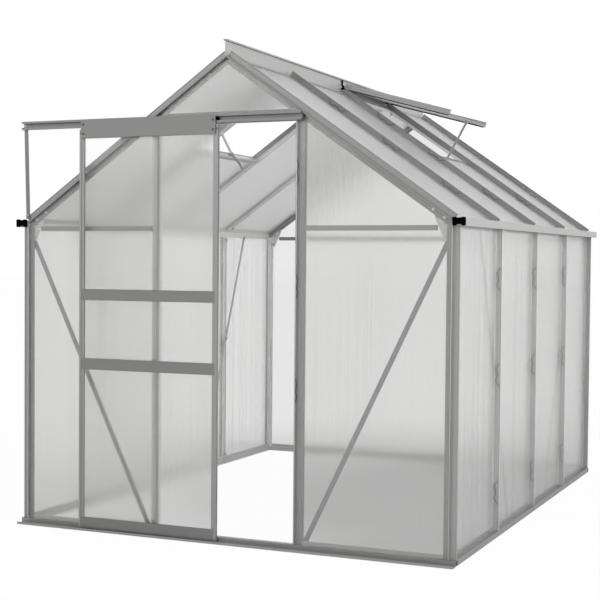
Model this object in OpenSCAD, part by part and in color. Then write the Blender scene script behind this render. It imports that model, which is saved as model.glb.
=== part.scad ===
// Walk-in greenhouse: extruded aluminium bars glazed with twin-wall sheet,
// a sliding door on a gable and two roof vents propped open.
// Millimetres, +X right along the door gable, +Y to the back, +Z up.

/* [House] */
// Width over the tips of the side wall bars
house_w = 1900; // [1600:10:2300]
// Length over the tips of the gable bars
house_l = 2500; // [1900:10:3800]
// Height of the underside of the eave gutters
eave_h = 1252; // [1100:1:1500]
// Slope of both roof sides in degrees
roof_pitch = 35; // [32:0.5:38]
// Bays along each side
bays = 4; // [3:1:6]

/* [Extrusions] */
// Wall thickness of the extruded sections
ext_t = 2; // [1.6:0.1:2.6]
// Fin height over the pane seat on side walls and roof
roof_fin = 28; // [22:1:34]
// Fin height over the pane seat on the gables
gable_fin = 18; // [14:1:24]
// Diameter of the bead along a fin's tip
bead_d = 5; // [4:0.5:7]
// Width of a glazing bar's flange
flange_w = 32; // [26:1:40]
// Flange width of corner posts and gable rafters
corner_flange = 24; // [20:1:30]
// Outside width of the bolt channel
channel_w = 14; // [11:1:17]
// Depth of the bolt channel below the flange
channel_d = 10; // [8:1:13]
// Slot of the bolt channel
channel_slot = 6.5; // [5:0.5:7]
// Height of the ribs on the side fin of a corner post
post_rib = 1; // [0.6:0.1:1.4]

/* [Sills] */
// Height of the base sills
sill_h = 22; // [18:1:30]
// Depth of the base sills inside the pane seat
sill_in = 14; // [12:1:20]
// Upstand that backs the foot of the panes
sill_upstand = 16; // [12:1:24]
// Reach of the door guide in front of the front sill
guide_reach = 34; // [32:1:40]
// Height of the rib along the door guide
guide_rib = 10; // [6:1:12]
// Thickness of the door guide's floor
guide_floor = 3; // [2:0.5:3]

/* [Gutters and ridge] */
// Width of a gutter outside the pane seat
gutter_w = 52; // [44:1:64]
// Height of a gutter's outer wall
gutter_h = 30; // [26:1:38]
// Height of the roof pane seat over the gutter floor
gutter_seat = 19; // [16:1:24]
// Width of the sloped seat beside the gutter
gutter_wing = 30; // [26:1:40]
// Apron below the gutter that backs the wall panes
gutter_apron = 10; // [8:1:16]
// Run of a roof fin past the wall seat
eave_run = 0; // [0:1:12]
// Thickness of the gutter end caps
cap_t = 8; // [6:1:10]
// Corner radius of the gutter end caps
cap_r = 5; // [3:0.5:6]
// Width of the notches in a cap's lower and upper edges
cap_notch = 20; // [14:1:24]
// Thickness of the ridge web
ridge_t = 3; // [2:0.5:4]
// Height of the ridge lip over the pane seats' apex
ridge_rise = 66; // [60:1:80]
// Width of the ridge lip
ridge_lip = 16; // [14:1:20]
// Depth of the hems along the ridge lip
ridge_hem = 6; // [4:1:10]
// Width of the lip that covers the panes' upper edges
ridge_cover = 18; // [14:1:26]
// Width of the sloped seat on each side of the ridge
ridge_wing = 28; // [24:1:36]
// Overhang of the ridge at each gable
ridge_over = 6; // [2:1:12]

/* [Panes] */
// Thickness of the twin-wall sheet
pane_t = 4; // [3.5:0.5:5]
// Run of the roof panes past the wall seat
pane_over = 13; // [8:1:18]
// Gap between the roof panes' upper edge and the apex
pane_ridge = 6; // [4:1:10]
// Gap between a pane's edge and the fin beside it
edge_gap = 2; // [1:0.5:4]
// Gap between two faces that seat on each other
seat_gap = 0.2; // [0.1:0.05:0.4]
// Gap at a butt joint
joint_gap = 0.3; // [0.2:0.1:0.6]

/* [Door gable] */
// Clear width between the door posts
doorway_w = 600; // [560:5:640]
// Width of a door post
door_post_w = 32; // [28:1:40]
// Depth of a door post behind the pane seat
door_post_d = 18; // [14:1:24]
// Overlap of a pane on a door post
door_post_lap = 14; // [10:1:18]
// Distance of the track's underside below the apex of the pane seats
track_fall = 259.6; // [200:0.1:340]
// Height of the track
track_h = 34; // [32:1:38]
// Depth of the track
track_d = 18; // [16:1:20]
// Height of the track's front lips
track_lip = 7; // [4:0.5:7.5]
// Run of the track past the wall seat at its outer end
track_over = 18; // [10:1:24]
// Right end of the track from the house's centre
track_right = 328; // [320:1:345]
// Height of the header over the doorway
header_h = 46; // [40:1:56]
// Lap of the gable's top pane on the header
header_lap = 10; // [6:1:16]
// Width of the joint strips at eave level
strip_h = 20; // [16:1:26]
// Distance of the joint strips' middle below the gutters
strip_drop = 7; // [0:1:40]
// Width of the diagonal braces
brace_w = 20; // [14:1:26]
// Distance of a front brace's upper end below the gutters
brace_drop = 66; // [50:1:200]
// Distance of a side brace's upper end from the bar it crosses
brace_top_run = 224; // [120:1:260]
// Distance of a side brace's foot from the bar it crosses
brace_foot_run = 269; // [120:1:300]
// Length of a gusset along the rafter, measured level
gusset_run = 58; // [45:1:100]
// Length of a gusset below the gutters
gusset_drop = 56; // [40:1:100]
// Width of a gusset's ends
gusset_end = 18; // [12:1:30]
// Thickness of braces, gussets and the track strut
strap_t = 2; // [1.5:0.5:3]
// Width of the strut that carries the track's outer end
strut_w = 18; // [14:1:22]
// Length of the strut's flat ends
strut_pad = 28; // [20:1:40]

/* [Sliding door] */
// Width of the door
door_w = 633; // [620:1:660]
// Distance of the door from its closed place
door_open = 339; // [0:1:560]
// Clearance between the door and the fins behind it
door_clear = 5; // [4:0.5:7]
// Depth of the door stiles
stile_d = 15; // [13:1:22]
// Width of the door stiles
stile_w = 22; // [20:1:28]
// Width of a stile's outer box
stile_box = 9; // [8:1:12]
// Gap between the stiles and the track over them
stile_gap = 7; // [5:0.5:10]
// Height of the door's foot over the ground
door_foot = 8; // [8:0.5:12]
// Height of the bottom and middle rails
rail_h = 46; // [36:1:56]
// Foot of the lower middle rail
rail_low_z = 666; // [500:1:750]
// Foot of the upper middle rail
rail_mid_z = 951; // [850:1:1200]
// Depth of the groove under the top plate
plate_groove = 12; // [8:1:16]
// Height of the top plate below the track
plate_drop = 44; // [38:1:60]
// Height of the top plate in front of the track
plate_rise = 28; // [24:1:30]
// Diameter of the door rollers
roller_d = 22; // [20:1:24]
// Thickness of the door rollers
roller_t = 8; // [6:1:9]
// Gap between a roller and the track's back
roller_gap = 3; // [2:0.5:4]
// Diameter of a roller's stub axle
axle_d = 6; // [5:1:7]
// Inset of a roller from the door's edge
roller_in = 12; // [11.5:0.5:40]

/* [Roof vents] */
// Bay of the left vent, counted from 0 at the door gable
left_vent_bay = 1; // [0:1:2]
// Bay of the right vent, counted from 0 at the door gable
right_vent_bay = 2; // [0:1:2]
// Distance of the vent sills from the apex, down the slope
vent_run = 530; // [450:1:600]
// Distance of the short panes' upper edge from the vent sills'
vent_lap = 8; // [5:1:14]
// Width of the vent sills
vent_sill_w = 26; // [22:1:34]
// Length of the vent leaves from hinge to lower edge
leaf_l = 540; // [500:1:640]
// Height of the leaf's side rails
leaf_rail_h = 25; // [20:1:32]
// Width of the leaf's side rails
leaf_rail_w = 12; // [8:1:18]
// Width of the leaf's top and lower rails
leaf_bar_w = 18; // [14:1:26]
// Rise of the hinge over the apex of the pane seats
hinge_rise = 24; // [20:0.5:32]
// Fall of the right leaf below level in degrees
leaf_angle_right = 15.4; // [10:0.1:20]
// Fall of the left leaf below level in degrees
leaf_angle_left = 15.3; // [10:0.1:20]
// Diameter of the hinge bead
hinge_d = 7; // [5:0.5:8]
// Width of the stay bars
stay_w = 10; // [8:1:12]
// Thickness of the stay bars
stay_t = 3; // [2:0.5:4]
// Length of a stay below the vent sill
stay_tail = 60; // [40:1:90]
// Lean of a stay below the vent sill from upright in degrees
stay_lean = 42; // [20:1:50]
// Length of a stay's bent tip
stay_tip = 27; // [16:1:40]
// Lean of a stay's bent tip from upright in degrees
tip_lean = 30; // [10:1:40]

/* [Hidden] */
$fn = 24;

alu = [0.60, 0.61, 0.60];
dark_alu = [0.48, 0.49, 0.48];
sheet = [0.86, 0.88, 0.88, 0.55];
black = [0.03, 0.03, 0.03];
big = 4000;
// Overrun of a cut past the face it opens
cut = 1;

// The house is centred on its whole depth, door guide and ridge ends included
y_front = -house_l / 2 + (guide_reach - ridge_over) / 2;
y_rear = y_front + house_l;
bay = house_l / bays;
function bar_y(i) = y_front + i * bay;

// Pane seats: side walls at |x| = seat_x, gables gable_fin behind the fins' tips
seat_x = house_w / 2 - roof_fin;
ca = cos(roof_pitch);
sa = sin(roof_pitch);
ta = tan(roof_pitch);
apex_z = eave_h + gutter_seat + seat_x * ta;
function seat_z(x, n) = apex_z - x * ta + n / ca;
function slope_x(s, n) = s * ca + n * sa;
function slope_z(s, n) = apex_z - s * sa + n * ca;
eave_s = seat_x / ca;
gutter_s = eave_s - gutter_wing;
wall_top = eave_h - joint_gap;
wall_foot = sill_h + seat_gap;
// Where gable sections end and the long extrusions get their inner parts
gable_in = gable_fin + corner_flange + joint_gap;
corner_tube = channel_w;
post_edge = seat_x - corner_flange;
strip_z = eave_h - strip_drop;
track_left = seat_x + track_over;
door_post_x = doorway_w / 2;
stud_x = doorway_w / 2 + door_post_w / 2;
lap_x = door_post_x + door_post_w - door_post_lap;
strap_back = ext_t + seat_gap;
brace_foot_z = sill_h + brace_w / 2 + edge_gap;
track_z = apex_z - track_fall;
header_z = track_z;

// Gussets lie behind pane and flanges, beside the corner tubes of post and rafter
gusset_x = seat_x - corner_tube - joint_gap;
gusset_n = -corner_tube - joint_gap;
rafter_end = [gusset_x - gusset_run, seat_z(gusset_x - gusset_run, gusset_n - gusset_end)];
post_end = [gusset_x - gusset_end, eave_h - gusset_drop];
function gusset_edge(z) = rafter_end[0]
    + (post_end[0] - rafter_end[0]) * (rafter_end[1] - z) / (rafter_end[1] - post_end[1]);
strip_end = gusset_edge(strip_z + strip_h / 2) - joint_gap;

// Vent hinges, beside the ridge
hinge_x = ridge_lip / 2 + hinge_d / 2 + joint_gap;
hinge_z = apex_z + hinge_rise;

// Door: w is the distance in front of the fins' tips
door_x = -door_w / 2 - door_open;
pane_w = door_clear + stile_d / 2;
rail_gap = pane_t / 2 + seat_gap;
rail_half = rail_gap + ext_t;
wall_w = rail_half + seat_gap;
plate_w = door_clear + max(stile_d, track_d + ext_t);
door_top = track_z - stile_gap;
plate_z = track_z - plate_drop;
roller_z = track_z + ext_t + roller_d / 2 + joint_gap;

// Right half as drawn, left half mirrored
module side(left) {
    if (left) mirror([1, 0, 0]) children();
    else children();
}

// Gable frame: x across, y outward from the pane seat, z up
module gable(front) {
    if (front) translate([0, y_front + gable_fin, 0]) mirror([0, 1, 0]) children();
    else translate([0, y_rear - gable_fin, 0]) children();
}

// Slope frame of the right roof side: x down the slope, z outward from the pane seat
module slope() {
    translate([0, 0, apex_z]) rotate([0, roof_pitch, 0]) children();
}

// Section drawn across x and out along y, run along x
module run_x(l) {
    rotate([90, 0, 90]) linear_extrude(l) children();
}

// Section drawn in x and z, run along y from y0 to y1
module run_y(y0, y1) {
    translate([0, y1, 0]) rotate([90, 0, 0]) linear_extrude(y1 - y0) children();
}

module keep_below_slope(n) {
    difference() {
        children();
        for (left = [false, true]) side(left) slope()
            translate([-big / 2, -big / 2, -n]) cube([big, big, big / 2]);
    }
}

module keep_off_ridge() {
    difference() {
        children();
        translate([-big, -big / 2, 0]) cube([big + ridge_t / 2 + joint_gap, big, big]);
    }
}

// Straight strap between two points, round at both ends
module strap(p, q, w) {
    d = q - p;
    translate(p) rotate(atan2(d[1], d[0])) {
        translate([0, -w / 2]) square([norm(d), w]);
        circle(d = w);
        translate([norm(d), 0]) circle(d = w);
    }
}

// Fin with a beaded tip, standing on y0
module fin_section(fin, y0) {
    translate([-ext_t / 2, y0]) square([ext_t, fin - y0 - bead_d / 2]);
    translate([0, fin - bead_d / 2]) circle(d = bead_d);
}

// Glazing bar: fin, flange and a slotted bolt channel behind it
module bar_section(fin) {
    fin_section(fin, -ext_t);
    translate([-flange_w / 2, -ext_t]) square([flange_w, ext_t]);
    difference() {
        translate([-channel_w / 2, -ext_t - channel_d]) square([channel_w, channel_d]);
        translate([-channel_w / 2 + ext_t, -channel_d])
            square([channel_w - 2 * ext_t, channel_d - ext_t]);
        translate([-channel_slot / 2, -ext_t - channel_d - cut])
            square([channel_slot, ext_t + 2 * cut]);
    }
}

// Corner bar: two crossed plates, each the flange of one side and the fin of the other
module corner_section(fin_x, fin_y) {
    translate([-corner_flange, -ext_t]) square([corner_flange + fin_x - bead_d / 2, ext_t]);
    translate([fin_x - bead_d / 2, -ext_t / 2]) circle(d = bead_d);
    translate([-ext_t, -corner_flange]) square([ext_t, corner_flange + fin_y - bead_d / 2]);
    translate([-ext_t / 2, fin_y - bead_d / 2]) circle(d = bead_d);
    difference() {
        translate([-corner_tube, -corner_tube]) square(corner_tube);
        translate([-corner_tube + ext_t, -corner_tube + ext_t]) square(corner_tube - 2 * ext_t);
    }
}

// Base sill with pane seat at x = 0 and its outer face at x = fin
module sill_section(fin) {
    translate([-sill_in, sill_h - ext_t]) square([sill_in + fin, ext_t]);
    translate([fin - ext_t, 0]) square([ext_t, sill_h]);
    translate([-sill_in, 0]) square([ext_t, sill_h]);
    translate([fin / 2, 0]) square([fin / 2, ext_t]);
    translate([-sill_in, 0]) square([sill_in / 2, ext_t]);
}

module upstand_section() {
    translate([-ext_t, sill_h - ext_t]) square([ext_t, ext_t + sill_upstand]);
}

// Sill across a gable, its upstand between the given pairs of x
module gable_sill(spans) {
    translate([-house_w / 2, 0, 0]) run_x(house_w) sill_section(gable_fin);
    for (p = spans)
        translate([p[0], 0, 0]) run_x(p[1] - p[0]) upstand_section();
}

module front_sill() {
    x0 = door_post_x + door_post_w + joint_gap;
    x1 = post_edge - joint_gap;
    color(alu) gable(true) {
        gable_sill([[x0, x1], [-x1, -x0]]);
        translate([-house_w / 2, gable_fin - ext_t, 0])
            cube([house_w, guide_reach + ext_t, guide_floor]);
        translate([-house_w / 2, gable_fin + guide_reach - ext_t, 0])
            cube([house_w, ext_t, guide_rib]);
    }
}

module rear_sill() {
    half = flange_w / 2 + joint_gap;
    x0 = stud_x + half;
    x1 = post_edge - joint_gap;
    color(alu) gable(false) gable_sill([[x0, x1], [-x1, -x0], [-stud_x + half, stud_x - half]]);
}

module side_sill(left) {
    y0 = y_front + gable_fin + sill_in + joint_gap;
    y1 = y_rear - gable_fin - sill_in - joint_gap;
    color(alu) side(left) translate([seat_x, 0, 0]) {
        run_y(y0, y1) sill_section(roof_fin);
        run_y(y_front + gable_in, y_rear - gable_in) upstand_section();
    }
}

module corner_post(left, front) {
    color(alu) gable(front) side(left) translate([seat_x, 0, wall_foot])
        linear_extrude(wall_top - wall_foot) {
            corner_section(roof_fin, gable_fin);
            for (x = [1, 2] * roof_fin / 3)
                translate([x, 0]) square([post_rib, post_rib]);
        }
}

// Wall bars: the fin runs from sill to gutter, flange and channel are coped at both ends
module wall_bars(left) {
    full_z = sill_h + sill_upstand + joint_gap;
    full_top = eave_h - gutter_apron - joint_gap;
    color(alu) side(left) for (i = [1 : bays - 1])
        translate([seat_x, bar_y(i), 0]) rotate([0, 0, -90]) {
            translate([0, 0, wall_foot]) linear_extrude(wall_top - wall_foot)
                fin_section(roof_fin, seat_gap);
            translate([0, 0, full_z]) linear_extrude(full_top - full_z) bar_section(roof_fin);
        }
}

module gutter(left) {
    color(alu) side(left) {
        run_y(y_front, y_rear) translate([seat_x, eave_h]) {
            translate([-ext_t, 0]) square([gutter_w + ext_t, ext_t]);
            translate([gutter_w - ext_t, 0]) square([ext_t, gutter_h - bead_d / 2]);
            translate([gutter_w - bead_d / 2, gutter_h - bead_d / 2]) circle(d = bead_d);
            translate([-ext_t, 0]) square([ext_t, gutter_seat]);
        }
        run_y(y_front + gable_in, y_rear - gable_in) {
            translate([seat_x - ext_t, eave_h - gutter_apron]) square([ext_t, gutter_apron + ext_t]);
            translate([0, apex_z]) rotate(-roof_pitch) translate([gutter_s, -ext_t])
                square([gutter_wing, ext_t]);
        }
    }
}

module gutter_end_caps() {
    r = cap_r;
    u0 = ext_t;
    h = gutter_h + ext_t;
    w = gutter_w - u0;
    color(black) for (left = [false, true]) side(left)
        run_y(y_front - cap_t, y_front - seat_gap) translate([seat_x + u0, eave_h]) difference() {
            union() {
                translate([r, 0]) square([w - 2 * r, h]);
                translate([0, r]) square([w, h - 2 * r]);
                for (x = [r, w - r], y = [r, h - r]) translate([x, y]) circle(r = r);
            }
            translate([(w - cap_notch) / 2, -r]) square([cap_notch, 2 * r]);
            translate([(w - cap_notch) / 2, h - r / 2]) square([cap_notch, r]);
        }
}

// One side of the ridge: a hinge arm along the vent, a cover lip over the other bays' panes
module ridge_side(left, vent_bay) {
    cover_n = pane_t + 2 * seat_gap;
    side(left) {
        run_y(leaf_y0(vent_bay), leaf_y1(vent_bay))
            translate([0, hinge_z - ext_t / 2]) square([ridge_lip / 2, ext_t]);
        for (i = [0 : bays - 1]) if (i != vent_bay) run_y(pane_y0(i), pane_y1(i))
            translate([0, apex_z]) rotate(-roof_pitch) translate([-ridge_t, cover_n])
                square([ridge_t + ridge_cover, ext_t]);
    }
}

module ridge_beam() {
    top = apex_z + ridge_rise;
    color(alu) {
        run_y(y_front - ridge_over, y_rear + ridge_over) {
            translate([-ridge_t / 2, apex_z]) square([ridge_t, ridge_rise]);
            translate([-ridge_lip / 2, top - ext_t]) square([ridge_lip, ext_t]);
            for (x = [-ridge_lip / 2, ridge_lip / 2 - ext_t])
                translate([x, top - ridge_hem]) square([ext_t, ridge_hem]);
        }
        ridge_side(true, left_vent_bay);
        ridge_side(false, right_vent_bay);
        run_y(y_front + gable_in, y_rear - gable_in) {
            translate([-ridge_t / 2, apex_z - channel_d - ext_t]) square([ridge_t, channel_d + 2 * ext_t]);
            for (m = [0, 1]) mirror([m, 0]) translate([0, apex_z]) rotate(-roof_pitch)
                translate([0, -ext_t]) square([ridge_wing, ext_t]);
        }
    }
}

// Gable rafter: full section from ridge to gutter, its roof fin runs on over the gutter
module rafter(left) {
    side(left) keep_off_ridge() {
        difference() {
            slope() run_x(eave_s + corner_flange) corner_section(gable_fin, roof_fin);
            translate([seat_x - ext_t - joint_gap, -big / 2, 0]) cube([big, big, big]);
            translate([0, -big / 2, 0]) cube([big, big, eave_h + joint_gap]);
        }
        slope() run_x(eave_s + eave_run) translate([-ext_t / 2, 0]) fin_section(roof_fin, seat_gap);
    }
}

module front_rafters() {
    color(alu) gable(true) for (left = [false, true]) rafter(left);
}

module rear_rafters() {
    color(alu) gable(false) for (left = [false, true]) rafter(left);
}

module roof_bars(left) {
    full_s = ridge_wing + joint_gap;
    color(alu) side(left) for (i = [1 : bays - 1]) translate([0, bar_y(i), 0]) {
        keep_off_ridge() slope() run_x(eave_s + eave_run) fin_section(roof_fin, seat_gap);
        slope() translate([full_s, 0, 0]) run_x(gutter_s - joint_gap - full_s) bar_section(roof_fin);
    }
}

// Door post: hollow box behind the pane seat, a fin along the doorway
module door_post(left) {
    color(alu) gable(true) keep_below_slope(corner_flange + joint_gap) side(left)
        translate([door_post_x, 0, wall_foot]) linear_extrude(apex_z - wall_foot) {
            difference() {
                translate([0, -door_post_d]) square([door_post_w, door_post_d]);
                translate([ext_t, -door_post_d + ext_t])
                    square([door_post_w - 2 * ext_t, door_post_d - 2 * ext_t]);
            }
            translate([0, -ext_t]) square([ext_t, ext_t + gable_fin - bead_d / 2]);
            translate([bead_d / 2, gable_fin - bead_d / 2]) circle(d = bead_d);
        }
}

module door_header() {
    l = doorway_w - 2 * joint_gap;
    color(alu) gable(true) keep_below_slope(corner_flange + joint_gap)
        translate([-l / 2, 0, header_z]) run_x(l) {
            translate([-ext_t, 0]) square([ext_t, header_h]);
            for (z = [0, header_h - ext_t])
                translate([-channel_w, z]) square([channel_w, ext_t]);
        }
}

module rear_studs() {
    full_z = sill_h + sill_upstand + joint_gap;
    color(alu) gable(false) keep_below_slope(corner_flange + joint_gap)
        for (x = [-stud_x, stud_x]) translate([x, 0, 0]) {
            translate([0, 0, wall_foot]) linear_extrude(apex_z - wall_foot)
                fin_section(gable_fin, seat_gap);
            translate([0, 0, full_z]) linear_extrude(apex_z - full_z) bar_section(gable_fin);
        }
}

// H-shaped strip that joins two sheets edge to edge
module strip_section() {
    for (y = [-ext_t, pane_t + 2 * seat_gap])
        translate([y, -strip_h / 2]) square([ext_t, strip_h]);
    translate([-ext_t, -ext_t / 2]) square([2 * rail_half, ext_t]);
}

module eave_strip(x0, x1) {
    translate([x0, 0, strip_z]) run_x(x1 - x0) strip_section();
}

module front_eave_strips() {
    x0 = door_post_x + door_post_w + joint_gap;
    color(dark_alu) gable(true) for (left = [false, true]) side(left)
        eave_strip(x0, strip_end);
}

module rear_eave_strips() {
    half = flange_w / 2 + joint_gap;
    color(dark_alu) gable(false) {
        for (left = [false, true]) side(left) eave_strip(stud_x + half, strip_end);
        eave_strip(-stud_x + half, stud_x - half);
    }
}

// Flat strap seated on the back of the gable flanges
module gable_strap(depth) {
    run_y(-depth - strap_t, -depth) children();
}

module front_braces() {
    top = [seat_x - corner_tube - joint_gap - brace_w / 2, eave_h - brace_drop];
    foot = [door_post_x + door_post_w + brace_w / 2 + edge_gap, brace_foot_z];
    color(dark_alu) gable(true) for (left = [false, true]) side(left)
        gable_strap(strap_back + strap_t + seat_gap) strap(foot, top, brace_w);
}

module side_braces() {
    mid = (y_front + y_rear) / 2;
    crossed = bay * (bays / 2 - 1);
    depth = ext_t + channel_d + seat_gap;
    foot = [crossed - brace_foot_run, brace_foot_z];
    top = [crossed + brace_top_run, eave_h - brace_w / 2];
    color(dark_alu) for (left = [false, true], back = [false, true]) side(left)
        translate([seat_x - depth, mid, 0]) rotate([90, 0, -90]) linear_extrude(strap_t)
            mirror([back ? 1 : 0, 0]) strap(foot, top, brace_w);
}

module corner_gussets() {
    color(alu) for (front = [true, false]) gable(front) for (left = [false, true]) side(left)
        gable_strap(strap_back) polygon([[gusset_x, post_end[1]], [gusset_x, seat_z(gusset_x, gusset_n)],
            [rafter_end[0], seat_z(rafter_end[0], gusset_n)], rafter_end, post_end]);
}

// C-shaped track: the rollers run on its floor behind the front lips
module door_track() {
    color(dark_alu) translate([-track_left, y_front - seat_gap, track_z]) mirror([0, 1, 0])
        run_x(track_left + track_right) {
            square([ext_t, track_h]);
            square([track_d - seat_gap, ext_t]);
            translate([0, track_h - ext_t]) square([track_d - seat_gap, ext_t]);
            translate([track_d - seat_gap - ext_t, 0]) square([ext_t, track_lip + ext_t]);
            translate([track_d - seat_gap - ext_t, track_h - track_lip - ext_t])
                square([ext_t, track_lip + ext_t]);
        }
}

// Strut jogged from the rafter's foot out to the back of the track
module track_strut() {
    z0 = eave_h + gutter_h + bead_d;
    v0 = (bead_d - ext_t) / 2 + seat_gap;
    v1 = gable_fin - strap_t;
    z1 = track_z + track_h;
    color(dark_alu) gable(true) translate([-track_left + ext_t / 2, 0, 0]) run_x(strut_w) polygon([
        [v0, z0], [v0 + strap_t, z0], [v0 + strap_t, z0 + strut_pad],
        [v1 + strap_t, z1 - strut_pad], [v1 + strap_t, z1], [v1, z1],
        [v1, z1 - strut_pad], [v0, z0 + strut_pad]]);
}

// Edges of the pane in bay i, clear of the fins beside it
end_edge = gable_fin + ext_t + edge_gap;
bar_edge = ext_t / 2 + edge_gap;
function pane_y0(i) = i == 0 ? y_front + end_edge : bar_y(i) + bar_edge;
function pane_y1(i) = i == bays - 1 ? y_rear - end_edge : bar_y(i + 1) - bar_edge;

module wall_panes(left) {
    color(sheet) side(left) for (i = [0 : bays - 1])
        translate([seat_x + seat_gap, pane_y0(i), wall_foot])
            cube([pane_t, pane_y1(i) - pane_y0(i), wall_top - wall_foot]);
}

// Roof panes: a full pane in each bay, a short one below the vent sill in the vent's bay
module roof_panes(left, vent_bay) {
    foot_s = eave_s + pane_over;
    color(sheet) side(left) slope() for (i = [0 : bays - 1]) {
        s0 = i == vent_bay ? vent_run + vent_lap : pane_ridge;
        translate([s0, pane_y0(i), seat_gap])
            cube([foot_s - s0, pane_y1(i) - pane_y0(i), pane_t]);
    }
}

module gable_pane(points) {
    run_y(seat_gap, seat_gap + pane_t) polygon(points);
}

// Lower edge of the gable rafter's fin, where the gable panes end
function gable_top(x) = seat_z(x, -ext_t - edge_gap);
low_top = strip_z - ext_t / 2 - seat_gap;
high_foot = strip_z + ext_t / 2 + seat_gap;
gable_edge = seat_x - ext_t - edge_gap;

module gable_side_panes(x0) {
    for (left = [false, true]) side(left) {
        gable_pane([[x0, wall_foot], [gable_edge, wall_foot], [gable_edge, low_top], [x0, low_top]]);
        gable_pane([[x0, high_foot], [gable_edge, high_foot],
            [gable_edge, gable_top(gable_edge)], [x0, gable_top(x0)]]);
    }
}

module front_panes() {
    foot = header_z + header_h - header_lap;
    half = (gable_top(0) - foot) / ta;
    widest = lap_x - 2 * edge_gap;
    color(sheet) gable(true) {
        gable_side_panes(lap_x);
        if (half <= widest) gable_pane([[-half, foot], [half, foot], [0, gable_top(0)]]);
        else gable_pane([[-widest, foot], [widest, foot], [widest, gable_top(widest)],
            [0, gable_top(0)], [-widest, gable_top(widest)]]);
    }
}

module rear_panes() {
    x1 = stud_x - bar_edge;
    color(sheet) gable(false) {
        gable_side_panes(stud_x + bar_edge);
        gable_pane([[-x1, wall_foot], [x1, wall_foot], [x1, low_top], [-x1, low_top]]);
        gable_pane([[-x1, high_foot], [x1, high_foot], [x1, gable_top(x1)],
            [0, gable_top(0)], [-x1, gable_top(x1)]]);
    }
}

// Leaf frame: x from the hinge to the lower edge, z out of the leaf
module leaf(fall) {
    translate([hinge_x, 0, hinge_z]) rotate([0, fall, 0]) children();
}

function leaf_y0(i) = bar_y(i) + bead_d / 2 + joint_gap;
function leaf_y1(i) = bar_y(i + 1) - bead_d / 2 - joint_gap;

// Two flanges that grip the sheet, from x = 0 inwards
module grip_section(w) {
    for (z = [-rail_gap - ext_t, rail_gap]) translate([0, z]) square([w, ext_t]);
}

// Side rail: flanges that grip the sheet and a hemmed web that stands over it
module leaf_rail_section() {
    grip_section(leaf_rail_w);
    translate([0, -rail_half]) square([ext_t, leaf_rail_h]);
    translate([0, leaf_rail_h - rail_half - ext_t]) square([leaf_rail_w / 2, ext_t]);
}

// Top rail with the hinge bead on its edge
module leaf_top_section() {
    circle(d = hinge_d);
    translate([0, -ext_t / 2]) square([hinge_d + ext_t, ext_t]);
    translate([hinge_d, 0]) {
        grip_section(leaf_bar_w);
        translate([0, -rail_half]) square([ext_t, 2 * rail_half]);
    }
}

module vent_frame(left, i, fall) {
    y0 = leaf_y0(i);
    y1 = leaf_y1(i);
    in = leaf_rail_w + joint_gap;
    rail_x = hinge_d / 2 + joint_gap;
    color(alu) side(left) leaf(fall) {
        translate([rail_x, y0, 0]) run_x(leaf_l - rail_x) leaf_rail_section();
        translate([rail_x, y1, 0]) mirror([0, 1, 0]) run_x(leaf_l - rail_x) leaf_rail_section();
        run_y(y0 + in, y1 - in) leaf_top_section();
        run_y(y0 + in, y1 - in) translate([leaf_l, 0]) mirror([1, 0]) {
            grip_section(leaf_bar_w);
            translate([0, -rail_half]) square([ext_t, 2 * rail_half]);
        }
    }
}

module vent_pane(left, i, fall) {
    y0 = leaf_y0(i) + ext_t + edge_gap;
    y1 = leaf_y1(i) - ext_t - edge_gap;
    x0 = hinge_d + ext_t + seat_gap;
    x1 = leaf_l - ext_t - seat_gap;
    color(sheet) side(left) leaf(fall) translate([x0, y0, -pane_t / 2])
        cube([x1 - x0, y1 - y0, pane_t]);
}

// Cross bar under the lower edge of a vent, with a weather upstand
module vent_sill(left, i) {
    y0 = bar_y(i) + flange_w / 2 + joint_gap;
    y1 = bar_y(i + 1) - flange_w / 2 - joint_gap;
    color(alu) side(left) slope() translate([vent_run, y0, 0]) {
        translate([0, 0, -ext_t]) cube([vent_sill_w, y1 - y0, ext_t]);
        for (x = [0, vent_sill_w - ext_t])
            translate([x, 0, -ext_t - channel_d]) cube([ext_t, y1 - y0, channel_d + ext_t]);
        translate([0, 0, -ext_t]) cube([ext_t, y1 - y0, channel_d + ext_t]);
    }
}

module vent_sills() {
    vent_sill(true, left_vent_bay);
    vent_sill(false, right_vent_bay);
}

// Bent stay: from under the leaf past the sill and down inside the roof
module vent_stay(left, i, fall) {
    drop = rail_half + stay_w / 2 + joint_gap;
    head_l = leaf_l - ext_t - stay_w / 2;
    head = [hinge_x + head_l * cos(fall) - drop * sin(fall),
        hinge_z - head_l * sin(fall) - drop * cos(fall)];
    knee_s = vent_run - stay_w / 2 - ext_t - joint_gap;
    knee = [slope_x(knee_s, 0), slope_z(knee_s, 0)];
    bend = knee - stay_tail * [sin(stay_lean), cos(stay_lean)];
    tip = bend - stay_tip * [sin(tip_lean), cos(tip_lean)];
    color(dark_alu) side(left) translate([0, bar_y(i) + bay / 2, 0])
        run_y(-stay_t / 2, stay_t / 2) {
            strap(head, knee, stay_w);
            strap(knee, bend, stay_w);
            strap(bend, tip, stay_w);
        }
}

module vent_stays() {
    vent_stay(true, left_vent_bay, leaf_angle_left);
    vent_stay(false, right_vent_bay, leaf_angle_right);
}

// Door frame: x from the door's left edge, y in front of the fins' tips, z up
module door() {
    translate([door_x, y_front, 0]) mirror([0, 1, 0]) children();
}

// Stile: outer box with two flanges that grip the panes
module stile_section() {
    difference() {
        translate([0, door_clear]) square([stile_box, stile_d]);
        translate([ext_t, door_clear + ext_t]) square([stile_box - 2 * ext_t, stile_d - 2 * ext_t]);
    }
    translate([stile_box - ext_t, pane_w]) grip_section(stile_w - stile_box + ext_t);
}

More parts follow.
